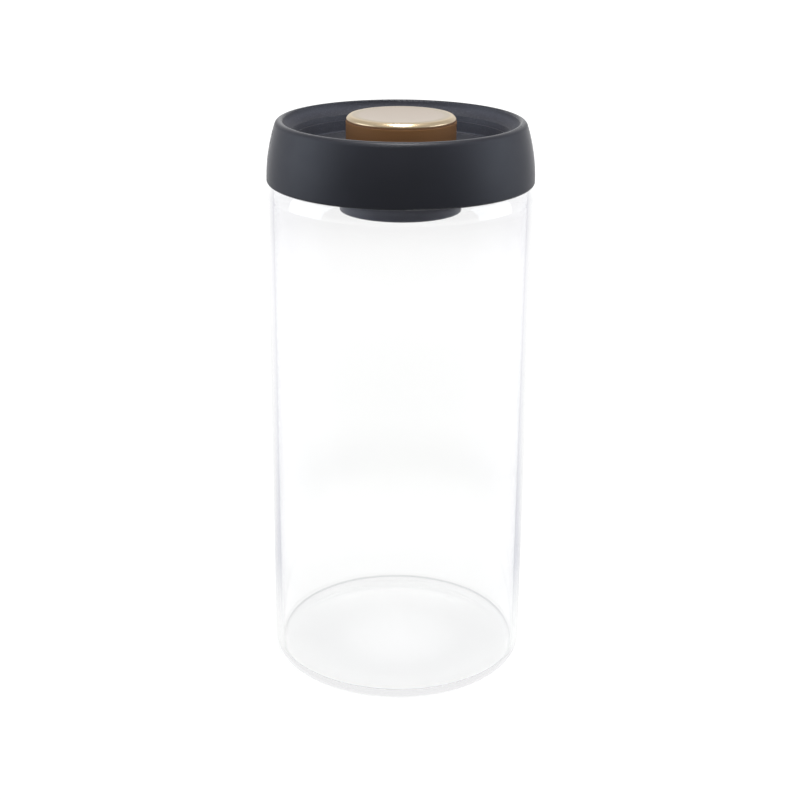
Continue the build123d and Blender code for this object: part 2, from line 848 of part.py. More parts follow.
def biarc(start, start_way, end, end_way):
    """Two tangent arcs from one point and direction to another."""
    chord = end - start
    both = start_way + end_way
    spread = 2 * (1 - start_way.dot(end_way))
    reach = (-chord.dot(both) + sqrt(chord.dot(both) ** 2 + spread * chord.dot(chord))) / spread
    first_corner = start + start_way * reach
    last_corner = end - end_way * reach
    middle = (first_corner + last_corner) / 2
    way = (last_corner - first_corner).normalized()
    return [TangentArc(start, middle, tangent=start_way), TangentArc(middle, end, tangent=way)]


def return_spring():
    """Compression spring of round wire, one unbroken tube."""
    total = 2 * spring_closed_turns + spring_open_turns
    step = 1 / spring_turn_steps
    turns = [index * step for index in range(total * spring_turn_steps + 1)]
    path = []
    for here, after in zip(turns, turns[1:]):
        ways = spring_direction(here, step), spring_direction(after, step)
        path += biarc(spring_point(here), ways[0], spring_point(after), ways[1])
    wire = Wire(path)
    face = Plane(origin=wire @ 0, z_dir=wire % 0) * Circle(spring_wire_radius)
    print("spring least gap between turns", round(spring_closed_pitch - 2 * spring_wire_radius, 3))
    return sweep(face, path=wire)


def spring_washer():
    """Steel washer between the spring and the plunger."""
    half = spring_washer_width / 2
    inner = spring_mean_radius - half
    return ring(inner, spring_mean_radius + half, well_roof - spring_washer_thickness, well_roof)


pieces = [
    glass_jar,
    lid_shell,
    lid_inner,
    lid_gasket,
    pump_barrel,
    barrel_seal,
    barrel_screws,
    guide_bush,
    filter_cover,
    dust_filter,
    stem_ring,
    return_spring,
    release_stem,
    stem_clip,
    inlet_valve,
    plunger_core,
    hub_ring,
    piston_seal,
    spring_washer,
    cap_carrier,
    cap_pad,
    knob_sleeve,
    knob_cap,
]

os.makedirs("parts", exist_ok=True)
for piece in pieces:
    solid = piece()
    solid.label = piece.__name__
    export_step(solid, f"parts/{piece.__name__}.step")
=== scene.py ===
from math import acos, atan2, cos, degrees, pi, radians, sin

import bmesh
import bpy
from mathutils import Matrix, Vector


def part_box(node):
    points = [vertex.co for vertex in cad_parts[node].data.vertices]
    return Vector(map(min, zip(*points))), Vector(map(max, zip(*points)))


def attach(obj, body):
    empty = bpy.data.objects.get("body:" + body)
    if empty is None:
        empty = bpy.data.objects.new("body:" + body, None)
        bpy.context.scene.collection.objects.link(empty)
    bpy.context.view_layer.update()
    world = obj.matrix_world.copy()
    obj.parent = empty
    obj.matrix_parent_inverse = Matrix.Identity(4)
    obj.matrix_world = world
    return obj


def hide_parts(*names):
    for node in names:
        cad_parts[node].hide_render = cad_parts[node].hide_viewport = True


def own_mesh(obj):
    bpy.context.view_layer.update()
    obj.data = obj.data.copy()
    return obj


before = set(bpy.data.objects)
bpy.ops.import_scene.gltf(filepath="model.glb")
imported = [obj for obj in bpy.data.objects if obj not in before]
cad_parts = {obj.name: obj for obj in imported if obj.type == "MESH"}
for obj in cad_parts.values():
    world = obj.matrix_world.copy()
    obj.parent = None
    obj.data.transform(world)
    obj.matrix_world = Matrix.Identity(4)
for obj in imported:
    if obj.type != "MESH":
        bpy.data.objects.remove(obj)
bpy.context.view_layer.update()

MM = 0.001

# Sizes read from the frame
JAR_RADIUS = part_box("glass_jar")[1].x
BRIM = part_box("glass_jar")[1].z
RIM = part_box("lid_shell")[1].z
CAP_LOW, CAP_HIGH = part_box("knob_cap")
SPRING_LOW, SPRING_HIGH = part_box("return_spring")

# The camera, from the outlines of the lid, the glass and the foot in the photograph; angles are in radians
CAMERA_DISTANCE = 603.2 * MM
CAMERA_HEIGHT = 344.2 * MM
CAMERA_PITCH = 0.3397
CAMERA_ROLL = 0.0081
FOCAL_PIXELS = 1490.5
CENTRE_X = 399.2
CENTRE_Y = 368.0
PHOTO_SIDE = 800.0
SENSOR = 36.0
NEAREST_SEEN = 10.0 * MM
FURTHEST_SEEN = 100.0

# Sizes of the jar's section
GLASS_WALL = 2.7 * MM
BASE = 4.2 * MM
HEEL = 5.5 * MM
INNER_HEEL = 0.6 * MM
INNER_COVE = 0.7 * MM
PUNT_RADIUS = 39.0 * MM
PUNT_RISE = 1.3 * MM
SHOULDER_DROP = 14.9 * MM
SHOULDER_ROUND = 12.0 * MM
SHOULDER_HOLLOW = 3.0 * MM
NECK_INSET = 3.6 * MM
BRIM_ROUND = 1.2 * MM

# Sizes of the cap's section; its rim is a list of first and last slope in degrees, and length
CAP_GAP = 0.2 * MM
CAP_EDGE = 0.1 * MM
CAP_RIM = ((20, 38, 0.5 * MM), (38, 56, 1.15 * MM), (56, 80, 0.45 * MM), (80, 90, 2.4 * MM))
CAP_DISH = 0.85 * MM

# Sizes of the spring's wire and winding
WIRE_RADIUS = 0.7 * MM
SPRING_TURNS = 6
CLOSED_TURNS = 1
CLOSED_PITCH = 1.95 * MM

# How finely the rounds of the jar, the cap and the wire are divided
SEGMENTS = 192
PUNT_STEPS = 10
FOOT_STEPS = 8
CORNER_STEPS = 14
WALL_STEP = 6.0 * MM
BULGE_STEPS = 12
HOLLOW_STEPS = 10
BRIM_STEPS = 8
CAP_EDGE_STEPS = 4
CAP_RIM_STEPS = 6
CAP_BOWL_STEPS = 20
SPRING_STEPS = 48
WIRE_SIDES = 16

# A point this near to the axis is on it
ON_AXIS = 1e-7

# Painted shade: a thin grey ring on the glass in the corner between the jar's wall and its base
CORNER_SHADE_WIDTH = 0.4 * MM
CORNER_RADIUS = JAR_RADIUS - GLASS_WALL - INNER_HEEL / 2
CORNER_HEIGHT = BASE + INNER_COVE + INNER_HEEL / 2

# The bounce at which a ray that is caught in the glass meets a painted glow, pale like the backdrop, that the
# glass gives off
TRAPPED_DEPTH = 6.0

# Where the lid changes: at the dish's edge, on steep faces, which get painted light, and along the front of
# the rim's crest, where its finish is shinier
DISH_EDGE = 49.0 * MM
DISH_BLEND = 1.5 * MM
LEVEL_FACE = 0.95
STEEP_FACE = 0.5
CREST_RADIUS = 49.1 * MM
CREST_START = 0.3 * MM
CREST_END = 2.0 * MM
CREST_TOP = 0.6 * MM
CREST_LOW = 1.2 * MM
CREST_REAR = 30.0 * MM

# Where the cap's finish changes: from blasted to polished, from ring to edge, and to its dyed lowest edge
BLASTED_END = 16.8 * MM
POLISHED_START = 17.9 * MM
RING_END = 19.4 * MM
EDGE_START = 20.6 * MM
DYED_EDGE = 0.88 * MM
DYED_BLEND = 0.05 * MM

# The floor's size, and how far it lies under the jar
FLOOR_SIDE = 12.0
FLOOR_DROP = 0.05 * MM

# The floor's own light: its share near the jar, the distances over which that grows to one, and its strength
FLOOR_GLOW = 0.72
FADE_START = 0.3
FADE_END = 0.9
SEEN_GLOW = 1.16

# The distances over which mirrored rays see the floor turn from white to the room's tones
MIRRORED_START = 0.057
MIRRORED_FULL = 0.12

# The floor's strength through glass, by distance in metres; a ramp ends at 1, so it holds these over RAMP_TOP
RAMP_TOP = 2.0
THROUGH_TONES = (
    (0.0, 1.09),
    (0.03, 0.99),
    (0.05, 1.08),
    (0.065, 1.17),
    (0.13, 1.2),
    (0.2, 1.14),
    (0.27, 1.23),
    (0.52, 1.27),
    (0.68, 1.15),
    (0.8, 1.0),
)

# The dimmer ring under the foot: its share by distance, the light that it leaves, and its end at the rear
FOOT_RING = ((0.018, 0.0), (0.04, 0.6), (0.05, 1.0), (0.063, 0.0))
FOOT_RING_TONE = 0.78
FOOT_RING_REAR = 0.035

# The room in reflections: its tones from the front at 0 to the rear at 1, and above by how far up a ray goes
ROOM_TONES = ((0.0, "#45464C"), (0.3, "#6C6D75"), (0.5, "#B5B6BE"), (0.82, "#CDCDD6"), (0.97, "#FFFFFF"))
OVERHEAD_TONE = "#BEBEC6"
OVERHEAD_START = 0.45
OVERHEAD_FULL = 0.85

# How many bounces further than surfaces the world counts a ray
WORLD_AHEAD = 1.0

# Strength of the room's even fill
ROOM_FILL = 0.5

# The point that the lamps are aimed at
AIM = Vector((0, 0, 0.16))


def make_camera():
    """Camera at the photograph's place: in front of the jar, looking down at the lid."""
    camera = bpy.data.objects.new("camera", bpy.data.cameras.new("camera"))
    bpy.context.scene.collection.objects.link(camera)
    camera.location = (0, -CAMERA_DISTANCE, CAMERA_HEIGHT)
    turn = Matrix.Rotation(pi / 2 - CAMERA_PITCH, 3, "X") @ Matrix.Rotation(CAMERA_ROLL, 3, "Z")
    camera.rotation_euler = turn.to_euler()
    camera.data.sensor_width = SENSOR
    camera.data.lens = FOCAL_PIXELS / PHOTO_SIDE * SENSOR
    camera.data.shift_x = (PHOTO_SIDE / 2 - CENTRE_X) / PHOTO_SIDE
    camera.data.shift_y = (CENTRE_Y - PHOTO_SIDE / 2) / PHOTO_SIDE
    camera.data.clip_start = NEAREST_SEEN
    camera.data.clip_end = FURTHEST_SEEN
    bpy.context.scene.camera = camera


# Materials

def colour(text):
    """Linear colour from an sRGB hex value."""
    parts = [int(text[i : i + 2], 16) / 255 for i in (1, 3, 5)]
    return [part / 12.92 if part <= 0.04045 else ((part + 0.055) / 1.055) ** 2.4 for part in parts] + [1.0]


def grey(level):
    """Linear grey of one level."""
    return [level, level, level, 1.0]


def per_mm(size):
    """Scale of a pattern whose features measure so many millimetres."""
    return 1 / (size * MM)


def add(tree, kind, inputs=None, stops=(), **settings):
    """Adds a shader node with its settings, and sets or links its inputs by name or number.

    A node given as an input is linked by its first output. A colour ramp's stops are pairs of a position and
    a colour, in rising order.
    """
    made = tree.nodes.new("ShaderNode" + kind)
    for name, value in settings.items():
        setattr(made, name, value)
    for name, value in (inputs or {}).items():
        if isinstance(value, bpy.types.Node):
            value = value.outputs[0]
        if isinstance(value, bpy.types.NodeSocket):
            tree.links.new(value, made.inputs[name])
        else:
            made.inputs[name].default_value = value
    if stops:
        first, last = made.color_ramp.elements
        first.position, first.color = stops[0]
        last.position, last.color = stops[-1]
        for position, tone in stops[1:-1]:
            made.color_ramp.elements.new(position).color = tone
    return made


def new_material(name):
    """Empty material with its tree, and the object's own coordinates in metres."""
    material = bpy.data.materials.new(name)
    material.use_nodes = True
    tree = material.node_tree
    tree.nodes.clear()
    return material, tree, add(tree, "TexCoord").outputs["Object"]


def finished(material, surface):
    """The material, with its last shader linked to its output."""
    add(material.node_tree, "OutputMaterial", {"Surface": surface})
    return material


def from_axis(tree, place):
    """Distance of a place from the upright axis, and the place's own X, Y and Z."""
    part = add(tree, "SeparateXYZ", {0: place}).outputs
    flat = add(tree, "CombineXYZ", {"X": part["X"], "Y": part["Y"]})
    return add(tree, "VectorMath", {0: flat}, operation="LENGTH").outputs["Value"], part


def borosilicate_glass():
    """Blown borosilicate glass: clear and sharp, with a faint cool tint and long soft waves.

    A grey ring of painted shade lies in the inner corner of the base. Lamps shine through with little loss,
    and a ray that is caught in the wall meets a painted glow, pale like the backdrop, so that the jar's edges
    stay pale.
    """
    material, tree, place = new_material("borosilicate_glass")
    reach, part = from_axis(tree, place)
    # Painted shade: the glass is greyed in a thin ring in the inner corner of the base
    near = add(tree, "Math", {0: reach, 1: CORNER_RADIUS, 2: CORNER_SHADE_WIDTH}, operation="COMPARE")
    beside = add(tree, "Math", {0: part["Z"], 1: CORNER_HEIGHT, 2: CORNER_SHADE_WIDTH}, operation="COMPARE")
    painted_corner_shade = add(tree, "Math", {0: near, 1: beside}, operation="MULTIPLY")
    tone = add(tree, "MixRGB", {0: painted_corner_shade, 1: colour("#FDFDFD"), 2: colour("#D6D6D8")})
    upright = add(tree, "Mapping", {"Vector": place, "Scale": (1.0, 1.0, 0.25)})
    wave = add(tree, "TexNoise", {"Vector": upright, "Scale": per_mm(28.0), "Detail": 0.0})
    bump = add(tree, "Bump", {"Height": wave, "Strength": 0.15, "Distance": 0.6 * MM})
    glass = add(
        tree,
        "BsdfPrincipled",
        {"Base Color": tone, "Roughness": 0.0, "IOR": 1.47, "Transmission Weight": 1.0, "Normal": bump},
    )
    path = add(tree, "LightPath").outputs
    # Painted glow: the glass gives off light for a ray that is caught in it this deep
    trapped = add(tree, "Math", {0: path["Ray Depth"], 1: TRAPPED_DEPTH, 2: 0.5}, operation="COMPARE")
    glow = add(tree, "Emission", {"Color": colour("#EEEEEF"), "Strength": trapped})
    body = add(tree, "AddShader", {0: glass, 1: glow})
    clear = add(tree, "BsdfTransparent", {"Color": colour("#FAFBFC")})
    return finished(material, add(tree, "MixShader", {0: path["Is Shadow Ray"], 1: body, 2: clear}))


def rubbed_crest(tree, reach, part):
    """One along the front of the rim's crest, where hands rub it, fading to nought towards the rear."""
    top = {"Value": part["Z"], "From Min": RIM - CREST_LOW, "From Max": RIM - CREST_TOP}
    inside = {"Value": reach, "From Min": CREST_RADIUS + CREST_END, "From Max": CREST_RADIUS + CREST_START}
    front = {"Value": part["Y"], "From Min": CREST_REAR, "From Max": 0.0}
    high, within, ahead = (add(tree, "MapRange", inputs) for inputs in (top, inside, front))
    crest = add(tree, "Math", {0: high, 1: within}, operation="MULTIPLY")
    return add(tree, "Math", {0: crest, 1: ahead}, operation="MULTIPLY")


def matte_charcoal_abs():
    """Moulded ABS with a spark-eroded grain, which gives a soft matte charcoal.

    The dish's steep faces carry painted light, a lighter grey; its floor has a grain of pale specks with
    their sparkle painted in; and the front of the rim is rubbed to a low shine. The real grain is about 0.1
    mm and is drawn at 0.5 mm, as coarse as it needs to show.
    """
    material, tree, place = new_material("matte_charcoal_abs")
    reach, part = from_axis(tree, place)
    mottle = add(tree, "TexNoise", {"Vector": place, "Scale": per_mm(9.0), "Detail": 3.0})
    tone = add(tree, "MixRGB", {0: mottle, 1: colour("#15161C"), 2: colour("#191A22")})
    dish = {"Value": reach, "From Min": DISH_EDGE, "From Max": DISH_EDGE - DISH_BLEND}
    within = add(tree, "MapRange", dish)
    # Painted light: steep faces in the dish are painted a lighter grey, for the light that falls on them
    # there
    upward = add(tree, "SeparateXYZ", {0: add(tree, "NewGeometry").outputs["Normal"]}).outputs["Z"]
    steep = add(tree, "MapRange", {"Value": upward, "From Min": LEVEL_FACE, "From Max": STEEP_FACE})
    painted_lit_walls = add(tree, "Math", {0: steep, 1: within}, operation="MULTIPLY")
    painted_wall_light = add(tree, "MixRGB", {0: painted_lit_walls, 1: tone, 2: colour("#34353D")})
    # Pale specks in the dish: its grain, with the grain's sparkle painted in; the final colour also holds the
    # painted wall light
    coarse = add(tree, "TexNoise", {"Vector": place, "Scale": per_mm(0.6), "Detail": 1.0})
    grain_and_painted_sparkle = add(tree, "MapRange", {"Value": coarse, "From Min": 0.5, "From Max": 0.7, "To Max": 0.35})
    level = add(tree, "Math", {0: within, 1: grain_and_painted_sparkle}, operation="MULTIPLY")
    grain_and_painted_light = add(tree, "MixRGB", {0: level, 1: painted_wall_light, 2: colour("#4F5059")})
    matte = add(tree, "MapRange", {"Value": mottle, "To Min": 0.50, "To Max": 0.60})
    rough = add(tree, "MapRange", {"Value": rubbed_crest(tree, reach, part), "To Min": matte, "To Max": 0.28})
    grain = add(tree, "TexNoise", {"Vector": place, "Scale": per_mm(0.5), "Detail": 2.0})
    bump = add(tree, "Bump", {"Height": grain, "Strength": 0.3, "Distance": 0.08 * MM})
    plastic = add(
        tree,
        "BsdfPrincipled",
        {
            "Base Color": grain_and_painted_light,
            "Roughness": rough,
            "IOR": 1.5,
            "Specular IOR Level": 0.4,
            "Sheen Weight": 0.2,
            "Sheen Roughness": 0.28,
            "Normal": bump,
        },
    )
    return finished(material, plastic)


def moulded_grey_abs():
    """Plain moulded ABS of the hidden lid parts: dark grey with a low shine.

    The mould's grain is finer than the 0.4 mm at which it is drawn to show.
    """
    material, tree, place = new_material("moulded_grey_abs")
    mottle = add(tree, "TexNoise", {"Vector": place, "Scale": per_mm(6.0), "Detail": 3.0})
    tone = add(tree, "MixRGB", {0: mottle, 1: colour("#4A4B52"), 2: colour("#53545B")})
    grain = add(tree, "TexNoise", {"Vector": place, "Scale": per_mm(0.4), "Detail": 2.0})
    bump = add(tree, "Bump", {"Height": grain, "Strength": 0.1, "Distance": 0.05 * MM})
    plastic = add(
        tree,
        "BsdfPrincipled",
        {"Base Color": tone, "Roughness": 0.38, "IOR": 1.5, "Normal": bump},
    )
    return finished(material, plastic)


def natural_acetal():
    """Natural acetal of the sliding parts, moulded: milky white, smooth and slightly waxy."""
    material, tree, place = new_material("natural_acetal")
    flow = add(tree, "TexNoise", {"Vector": place, "Scale": per_mm(5.0), "Detail": 2.0})
    tone = add(tree, "MixRGB", {0: flow, 1: colour("#DCDAD3"), 2: colour("#E9E7E0")})
    plastic = add(
        tree,
        "BsdfPrincipled",
        {
            "Base Color": tone,
            "Roughness": 0.32,
            "IOR": 1.48,
            "Subsurface Weight": 0.2,
            "Subsurface Radius": (1.0, 0.9, 0.8),
            "Subsurface Scale": 1.0 * MM,
        },
    )
    return finished(material, plastic)


def moulded_silicone():
    """Food-grade silicone, press-moulded: pale grey, soft satin, slightly see-through at thin edges."""
    material, tree, place = new_material("moulded_silicone")
    cloud = add(tree, "TexNoise", {"Vector": place, "Scale": per_mm(4.0), "Detail": 2.0})
    tone = add(tree, "MixRGB", {0: cloud, 1: colour("#B7B9BD"), 2: colour("#C7C9CC")})
    rubber = add(
        tree,
        "BsdfPrincipled",
        {
            "Base Color": tone,
            "Roughness": 0.45,
            "IOR": 1.41,
            "Subsurface Weight": 0.35,
            "Subsurface Radius": (1.0, 1.0, 1.0),
            "Subsurface Scale": 1.5 * MM,
        },
    )
    return finished(material, rubber)


def nitrile_rubber():
    """Nitrile rubber of the O-rings, moulded: black with a dull shine.

    The real grain is finer than the 0.3 mm at which it is drawn to show.
    """
    material, tree, place = new_material("nitrile_rubber")
    grain = add(tree, "TexNoise", {"Vector": place, "Scale": per_mm(0.3), "Detail": 2.0})
    tone = add(tree, "MixRGB", {0: grain, 1: colour("#151516"), 2: colour("#1F1F21")})
    rubber = add(tree, "BsdfPrincipled", {"Base Color": tone, "Roughness": 0.5, "IOR": 1.52})
    return finished(material, rubber)


def adhesive_foam():
    """Closed-cell adhesive foam under the cap: grey with fine pores."""
    material, tree, place = new_material("adhesive_foam")
    pores = add(tree, "TexVoronoi", {"Vector": place, "Scale": per_mm(0.35)})
    tone = add(tree, "MixRGB", {0: pores, 1: colour("#56575A"), 2: colour("#7C7D80")})
    bump = add(tree, "Bump", {"Height": pores, "Strength": 0.4, "Distance": 0.1 * MM})
    foam = add(tree, "BsdfPrincipled", {"Base Color": tone, "Roughness": 0.9, "Normal": bump})
    return finished(material, foam)


def stainless_steel():
    """Drawn stainless steel of the spring, screws, clip and filter: bright with fine streaks.

    The real streaks are finer than the 0.25 mm at which they are drawn to show.
    """
    material, tree, place = new_material("stainless_steel")
    streaks = add(tree, "TexNoise", {"Vector": place, "Scale": per_mm(0.25), "Detail": 3.0})
    rough = add(tree, "MapRange", {"Value": streaks, "To Min": 0.18, "To Max": 0.34})
    tone = add(tree, "MixRGB", {0: streaks, 1: colour("#B4B6B8"), 2: colour("#CBCDCE")})
    steel = add(tree, "BsdfPrincipled", {"Base Color": tone, "Metallic": 1.0, "Roughness": rough})
    return finished(material, steel)


def brown_anodised_aluminium():
    """Turned aluminium tube, anodised brown: a flat warm brown with fine turning lines.

    The real lines are finer than the 0.3 mm at which they are drawn to show.
    """
    material, tree, place = new_material("brown_anodised_aluminium")
    around = add(tree, "Mapping", {"Vector": place, "Scale": (0.02, 0.02, 1.0)})
    lines = add(tree, "TexNoise", {"Vector": around, "Scale": per_mm(0.3), "Detail": 2.0})
    tone = add(tree, "MixRGB", {0: lines, 1: colour("#775536"), 2: colour("#805B3A")})
    metal = add(
        tree,
        "BsdfPrincipled",
        {"Base Color": tone, "Metallic": 0.15, "Roughness": 0.65, "Specular IOR Level": 0.15},
    )
    return finished(material, metal)


def champagne_anodised_aluminium():
    """Pressed aluminium: a bead-blasted champagne dish, a polished gold rim and a lowest edge dyed brown.

    The real blasting is finer than the 0.35 mm at which it is drawn to show.
    """
    material, tree, place = new_material("champagne_anodised_aluminium")
    reach, part = from_axis(tree, place)
    rim = {"Value": reach, "From Min": BLASTED_END, "From Max": POLISHED_START}
    polished = add(tree, "MapRange", rim, interpolation_type="SMOOTHSTEP")
    outer = add(tree, "MapRange", {"Value": reach, "From Min": RING_END, "From Max": EDGE_START})
    dye_line = CAP_LOW.z + DYED_EDGE
    lowest = {"Value": part["Z"], "From Min": dye_line + DYED_BLEND, "From Max": dye_line}
    dyed = add(tree, "MapRange", lowest)
    ring = add(tree, "MixRGB", {0: outer, 1: colour("#B5A68E"), 2: colour("#CBB794")})
    gold = add(tree, "MixRGB", {0: polished, 1: colour("#C2B5A6"), 2: ring})
    tone = add(tree, "MixRGB", {0: dyed, 1: gold, 2: colour("#755335")})
    shine = add(tree, "MapRange", {"Value": polished, "To Min": 0.40, "To Max": 0.30})
    rough = add(tree, "MapRange", {"Value": dyed, "To Min": shine, "To Max": 0.65})
    metallic = add(tree, "MapRange", {"Value": dyed, "To Min": 0.85, "To Max": 0.15})
    blast = add(tree, "TexNoise", {"Vector": place, "Scale": per_mm(0.35), "Detail": 2.0})
    depth = add(tree, "MapRange", {"Value": polished, "To Min": 0.10, "To Max": 0.0})
    bump = add(tree, "Bump", {"Height": blast, "Strength": depth, "Distance": 0.05 * MM})
    metal = add(
        tree,
        "BsdfPrincipled",
        {"Base Color": tone, "Metallic": metallic, "Roughness": rough, "Normal": bump},
    )
    return finished(material, metal)


FINISHES = {
    "glass": borosilicate_glass,
    "lid_plastic": matte_charcoal_abs,
    "inner_plastic": moulded_grey_abs,
    "core_plastic": natural_acetal,
    "bush_plastic": natural_acetal,
    "silicone": moulded_silicone,
    "seal_rubber": nitrile_rubber,
    "pad_foam": adhesive_foam,
    "steel": stainless_steel,
    "knob_bronze": brown_anodised_aluminium,
    "knob_gold": champagne_anodised_aluminium,
}
made_finishes = {}


def finish_for(slot):
    """The finish of a material slot, made once."""
    maker = FINISHES[slot]
    if maker not in made_finishes:
        made_finishes[maker] = maker()
    return made_finishes[maker]


def dress_cad_nodes():
    """Gives every node that stays its finish, by its slot's name without the number that Blender may add."""
    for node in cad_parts.values():
        for slot in node.material_slots:
            slot.material = finish_for(slot.material.name.split(".")[0])


# Pieces

def new_piece(name, mesh, slot):
    """Piece from a finished mesh, with its faces turned outward and its slot's finish."""
    bmesh.ops.recalc_face_normals(mesh, faces=mesh.faces)
    data = bpy.data.meshes.new(name)
    mesh.to_mesh(data)
    mesh.free()
    data.materials.append(finish_for(slot))
    piece = bpy.data.objects.new(name, data)
    bpy.context.scene.collection.objects.link(piece)
    return piece


def arc(centre, radius, start, end, steps):
    """Points of a round in a section, between two angles in degrees from the outward direction."""
    angles = [radians(start + (end - start) * index / steps) for index in range(steps + 1)]
    return [(centre[0] + radius * cos(angle), centre[1] + radius * sin(angle)) for angle in angles]


def turned_piece(name, section, slot):
    """Piece turned about the jar's axis from a section that starts and ends on the axis."""
    mesh = bmesh.new()
    angles = [2 * pi * index / SEGMENTS for index in range(SEGMENTS)]
    rings = []
    for radius, height in section:
        if radius < ON_AXIS:
            rings.append([mesh.verts.new((0, 0, height))] * SEGMENTS)
        else:
            rings.append([mesh.verts.new((radius * cos(a), radius * sin(a), height)) for a in angles])
    for low, high in zip(rings, rings[1:]):
        for index in range(SEGMENTS):
            after = (index + 1) % SEGMENTS
            corners = [low[index], low[after], high[after], high[index]]
            mesh.faces.new(list(dict.fromkeys(corners))).smooth = True
    return new_piece(name, mesh, slot)


def jar_side(inset, bottom, heel, cove):
    """One face of the jar's wall, from the middle of the base up to the top of the neck."""
    wall = JAR_RADIUS - inset
    sphere = (PUNT_RADIUS**2 + PUNT_RISE**2) / (2 * PUNT_RISE)
    half = degrees(atan2(PUNT_RADIUS, sphere - PUNT_RISE))
    punt = arc((0, bottom + PUNT_RISE - sphere), sphere, 90, 90 - half, PUNT_STEPS)
    foot_run = wall - heel - PUNT_RADIUS
    shares = [step / FOOT_STEPS for step in range(1, FOOT_STEPS)]
    foot = [(PUNT_RADIUS + foot_run * share, bottom + cove * share**2) for share in shares]
    low = bottom + cove + heel
    corner = arc((wall - heel, low), heel, -90, 0, CORNER_STEPS)
    start = BRIM - SHOULDER_DROP
    rise = start - low
    count = int(rise / WALL_STEP)
    side = [(wall, low + rise * index / count) for index in range(1, count)]
    bulge = SHOULDER_ROUND - inset
    hollow = SHOULDER_HOLLOW + inset
    turn = acos(1 - NECK_INSET / (SHOULDER_ROUND + SHOULDER_HOLLOW))
    bulging = arc((wall - bulge, start), bulge, 0, degrees(turn), BULGE_STEPS)
    centre = (wall - bulge + (bulge + hollow) * cos(turn), start + (bulge + hollow) * sin(turn))
    hollowed = arc(centre, hollow, 180 + degrees(turn), 180, HOLLOW_STEPS)[1:]
    return punt + foot + corner + side + bulging + hollowed


def glass_jar():
    """The jar with a real wall: both faces, a thicker base and a fire-rounded brim."""
    outer = jar_side(0, 0, HEEL, 0)
    inner = jar_side(GLASS_WALL, BASE, INNER_HEEL, INNER_COVE)
    neck = JAR_RADIUS - NECK_INSET
    brim = arc((neck - BRIM_ROUND, BRIM - BRIM_ROUND), BRIM_ROUND, 0, 90, BRIM_STEPS)
    brim += arc((neck - GLASS_WALL + BRIM_ROUND, BRIM - BRIM_ROUND), BRIM_ROUND, 90, 180, BRIM_STEPS)
    jar = turned_piece("jar", outer + brim + inner[::-1], "glass")
    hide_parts("glass_jar")
    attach(jar, "jar")


def rolled_rim(radius, high):
    """Points of the cap's rim, from its side over a bevelled round to the low ring that ends at the crest."""
    moves = []
    for first, last, length in CAP_RIM:
        for step in range(CAP_RIM_STEPS):
            slope = radians(first + (last - first) * (step + 0.5) / CAP_RIM_STEPS)
            moves.append((-sin(slope) * length / CAP_RIM_STEPS, cos(slope) * length / CAP_RIM_STEPS))
    points = [(radius, high - sum(rise for _, rise in moves))]
    for inward, rise in moves:
        points.append((points[-1][0] + inward, points[-1][1] + rise))
    return points


def knob_cap():
    """The pressed cap: a bevelled round at the edge, a low ring inside it and a shallow bowl."""
    radius = CAP_HIGH.x - CAP_GAP
    low, high = CAP_LOW.z, CAP_HIGH.z
    edge = arc((radius - CAP_EDGE, low + CAP_EDGE), CAP_EDGE, -90, 0, CAP_EDGE_STEPS)
    rim = rolled_rim(radius, high)
    crest = rim[-1][0]
    shares = [1 - index / CAP_BOWL_STEPS for index in range(1, CAP_BOWL_STEPS + 1)]
    bowl = [(crest * share, high - CAP_DISH * (1 - share**2)) for share in shares]
    cap = turned_piece("cap", [(0, low)] + edge + rim + bowl, "knob_gold")
    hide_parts("knob_cap")
    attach(cap, "plunger")


def wire_height(turn):
    """Height of the wire's middle after so many turns, with one closed turn at each end."""
    low = SPRING_LOW.z + WIRE_RADIUS
    high = SPRING_HIGH.z - WIRE_RADIUS
    open_turns = SPRING_TURNS - 2 * CLOSED_TURNS
    open_pitch = (high - low - 2 * CLOSED_TURNS * CLOSED_PITCH) / open_turns
    first = min(turn, CLOSED_TURNS) * CLOSED_PITCH
    middle = min(max(turn - CLOSED_TURNS, 0), open_turns) * open_pitch
    last = max(turn - SPRING_TURNS + CLOSED_TURNS, 0) * CLOSED_PITCH
    return low + first + middle + last


def return_spring():
    """Helical spring of round wire with closed ends."""
    mesh = bmesh.new()
    mean = SPRING_HIGH.x - WIRE_RADIUS
    up = Vector((0, 0, 1))
    sides = [2 * pi * side / WIRE_SIDES for side in range(WIRE_SIDES)]
    rings = []
    for index in range(SPRING_TURNS * SPRING_STEPS + 1):
        turn = index / SPRING_STEPS
        out = Vector((cos(2 * pi * turn), sin(2 * pi * turn), 0))
        centre = out * mean + up * wire_height(turn)
        rings.append([mesh.verts.new(centre + (out * cos(a) + up * sin(a)) * WIRE_RADIUS) for a in sides])
    for before, after in zip(rings, rings[1:]):
        for side in range(WIRE_SIDES):
            beside = (side + 1) % WIRE_SIDES
            mesh.faces.new((before[side], before[beside], after[beside], after[side])).smooth = True
    mesh.faces.new(rings[0][::-1])
    mesh.faces.new(rings[-1])
    spring = new_piece("wire_spring", mesh, "steel")
    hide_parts("return_spring")
    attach(spring, "lid")
    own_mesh(spring)


# Studio

def room_tone(tree, way):
    """Tone of the room in a direction: dim in front, lavender at the sides, white behind and pale above."""
    part = add(tree, "SeparateXYZ", {0: way}).outputs
    share = add(tree, "MapRange", {"Value": part["Y"], "From Min": -1.0})
    tones = [(position, colour(tone)) for position, tone in ROOM_TONES]
    level = add(tree, "ValToRGB", {0: share}, stops=tones)
    above = {"Value": part["Z"], "From Min": OVERHEAD_START, "From Max": OVERHEAD_FULL}
    overhead = add(tree, "MapRange", above)
    return add(tree, "MixRGB", {0: overhead, 1: level, 2: colour(OVERHEAD_TONE)})


